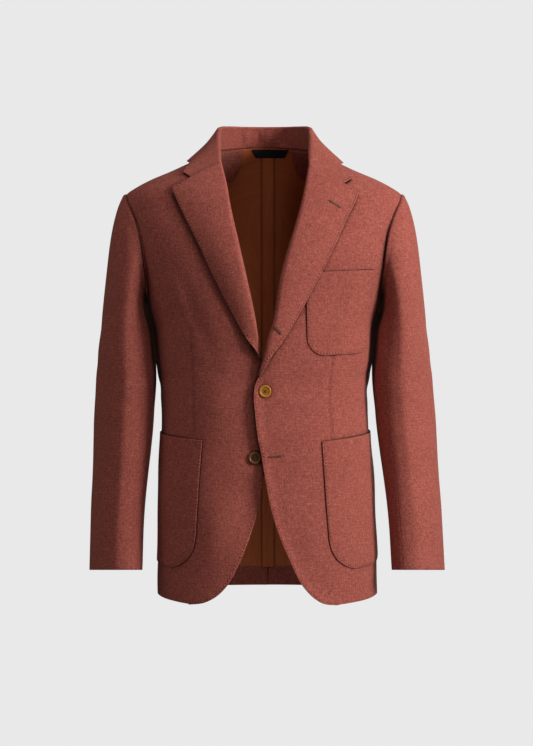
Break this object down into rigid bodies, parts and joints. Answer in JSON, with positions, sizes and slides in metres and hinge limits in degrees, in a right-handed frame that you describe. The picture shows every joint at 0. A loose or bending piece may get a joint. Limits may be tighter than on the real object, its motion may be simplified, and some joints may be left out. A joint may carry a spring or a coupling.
{
  "type": "sport coat",
  "caption": "Single-breasted sport coat with notch lapels, patch pockets and long sleeves, filled out as if worn, open at neck, cuffs and hem",
  "frame": {"origin": "middle of the neck opening, level with the back neck seam, where the coat is held", "axes": "the coat hangs with its hem towards -Z, its front faces -Y and the wearer's left is +X"},
  "size_m": [0.5966, 0.2754, 0.8002],
  "materials": {
    "wool_flannel": "rust wool flannel with a short nap",
    "lining": "smooth brown lining with a soft sheen",
    "label_tape": "dark navy woven tape, bare",
    "horn_button": "amber horn, polished rim and darker dish"
  },
  "bodies": {
    "root": {"front_left": "wool_flannel", "front_right": "wool_flannel", "side_left": "wool_flannel", "side_right": "wool_flannel", "back_left": "wool_flannel", "back_right": "wool_flannel", "lapel_left": "wool_flannel", "lapel_right": "wool_flannel", "collar_leaf": "wool_flannel", "collar_stand": "wool_flannel", "top_sleeve_left": "wool_flannel", "top_sleeve_right": "wool_flannel", "under_sleeve_left": "wool_flannel", "under_sleeve_right": "wool_flannel", "breast_pocket": "wool_flannel", "hip_pocket_left": "wool_flannel", "hip_pocket_right": "wool_flannel", "neck_facing_left": "wool_flannel", "neck_facing_right": "wool_flannel", "hem_facing_left": "wool_flannel", "hem_facing_right": "wool_flannel", "lining_left": "lining", "lining_right": "lining", "lining_strip": "lining", "neck_label": "label_tape", "button_upper": "horn_button", "button_lower": "horn_button"}
  },
  "joints": []
}
